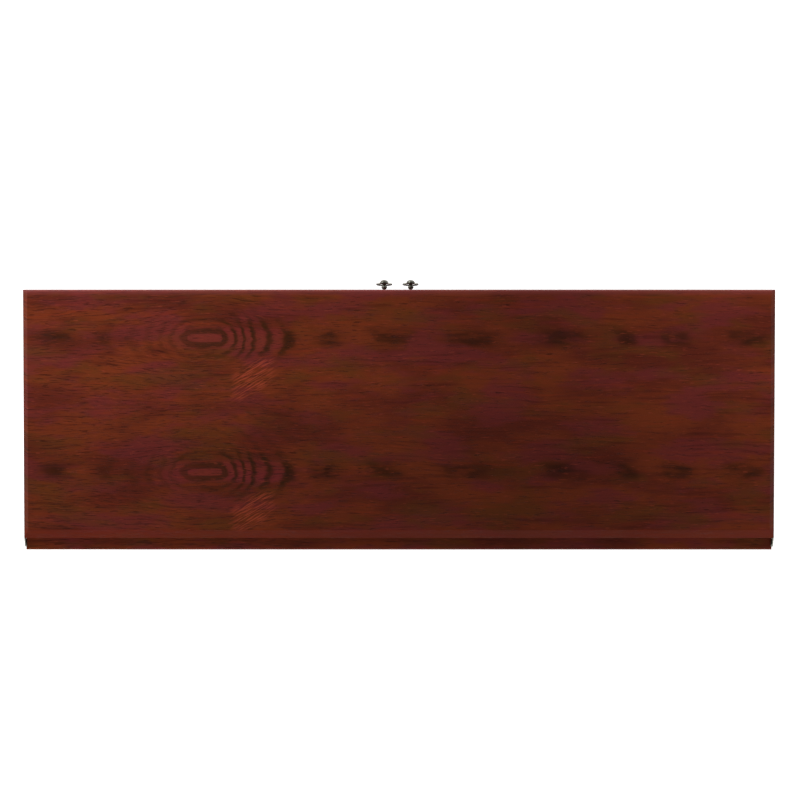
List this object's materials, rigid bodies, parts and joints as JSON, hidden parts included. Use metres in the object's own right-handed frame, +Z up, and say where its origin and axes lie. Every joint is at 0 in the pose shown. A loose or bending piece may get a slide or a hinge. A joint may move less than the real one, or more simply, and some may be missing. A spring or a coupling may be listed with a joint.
{
  "type": "gaming table",
  "caption": "Console gaming table in red mahogany: flip-over top on end hinges, pull-out lopers, and a two-door cabinet with ring pulls.",
  "frame": {"origin": "middle of the overall box, on the floor", "axes": "+Z up, +X along the table's width, front faces -Y"},
  "size_m": [1.219, 0.439, 0.762],
  "materials": {
    "top_veneer": "satin lacquer over red mahogany stain",
    "frame_wood": "satin lacquer over red mahogany stain",
    "interior_wood": "matt lacquer",
    "baize": "felted wool",
    "pewter": "antique pewter",
    "brass": "antique brass",
    "felt": "pressed felt",
    "nylon": "moulded"
  },
  "bodies": {
    "table": {"bed": "top_veneer", "bed_baize": "baize", "leg_front_left": "frame_wood", "leg_front_right": "frame_wood", "leg_rear_left": "frame_wood", "leg_rear_right": "frame_wood", "front_rail_upper": "frame_wood", "front_rail_lower": "frame_wood", "rear_rail_upper": "frame_wood", "rear_rail_lower": "frame_wood", "side_rail_upper_left": "frame_wood", "side_rail_upper_right": "frame_wood", "side_rail_lower_left": "frame_wood", "side_rail_lower_right": "frame_wood", "side_panel_left": "frame_wood", "side_panel_right": "frame_wood", "cabinet_floor": "interior_wood", "divider": "interior_wood", "back_panel": "interior_wood", "shelf_left": "interior_wood", "shelf_right": "interior_wood", "shelf_pins": "brass", "corner_blocks": "interior_wood", "cabinet_screws": "brass", "glides": "nylon", "loper_guide_left": "interior_wood", "loper_guide_right": "interior_wood", "door_catches": "nylon", "door_hinge_fixed_left": "brass", "door_hinge_fixed_right": "brass", "door_hinge_pins_left": "brass", "door_hinge_pins_right": "brass", "flip_hinge_plates": "pewter", "flip_hinge_pins": "pewter"},
    "leaf": {"leaf": "top_veneer", "leaf_baize": "baize", "flip_hinge_arms": "pewter", "leaf_screws": "pewter"},
    "door_left": {"door_left_stiles": "frame_wood", "door_left_rails": "frame_wood", "door_left_panel": "frame_wood", "door_left_hinge_leaves": "brass", "door_left_strike": "pewter", "door_left_screws": "brass", "door_left_pull_post": "pewter"},
    "ring_left": {"ring_left": "pewter"},
    "loper_left": {"loper_left": "frame_wood", "loper_left_pad": "felt"},
    "door_right": {"door_right_stiles": "frame_wood", "door_right_rails": "frame_wood", "door_right_panel": "frame_wood", "door_right_hinge_leaves": "brass", "door_right_strike": "pewter", "door_right_screws": "brass", "door_right_pull_post": "pewter"},
    "ring_right": {"ring_right": "pewter"},
    "loper_right": {"loper_right": "frame_wood", "loper_right_pad": "felt"}
  },
  "joints": [
    {"name": "leaf_flip", "type": "hinge", "parent": "table", "child": "leaf", "pos_m": [0, 0.20945, 0.7425], "axis": [-1, 0, 0], "range_deg": [0, 180]},
    {"name": "door_left_swing", "type": "hinge", "parent": "table", "child": "door_left", "pos_m": [-0.54375, -0.196, 0.4075], "axis": [0, 0, -1], "range_deg": [0, 105]},
    {"name": "door_right_swing", "type": "hinge", "parent": "table", "child": "door_right", "pos_m": [0.54375, -0.196, 0.4075], "axis": [0, 0, 1], "range_deg": [0, 105]},
    {"name": "ring_left_swing", "type": "hinge", "parent": "door_left", "child": "ring_left", "pos_m": [-0.02265, -0.21005, 0.4613], "axis": [-1, 0, 0], "range_deg": [0, 78]},
    {"name": "ring_right_swing", "type": "hinge", "parent": "door_right", "child": "ring_right", "pos_m": [0.02265, -0.21005, 0.4613], "axis": [-1, 0, 0], "range_deg": [0, 78]},
    {"name": "loper_left_slide", "type": "slide", "parent": "table", "child": "loper_left", "axis": [0, 1, 0], "range_m": [0, 0.3]},
    {"name": "loper_right_slide", "type": "slide", "parent": "table", "child": "loper_right", "axis": [0, 1, 0], "range_m": [0, 0.3]}
  ]
}
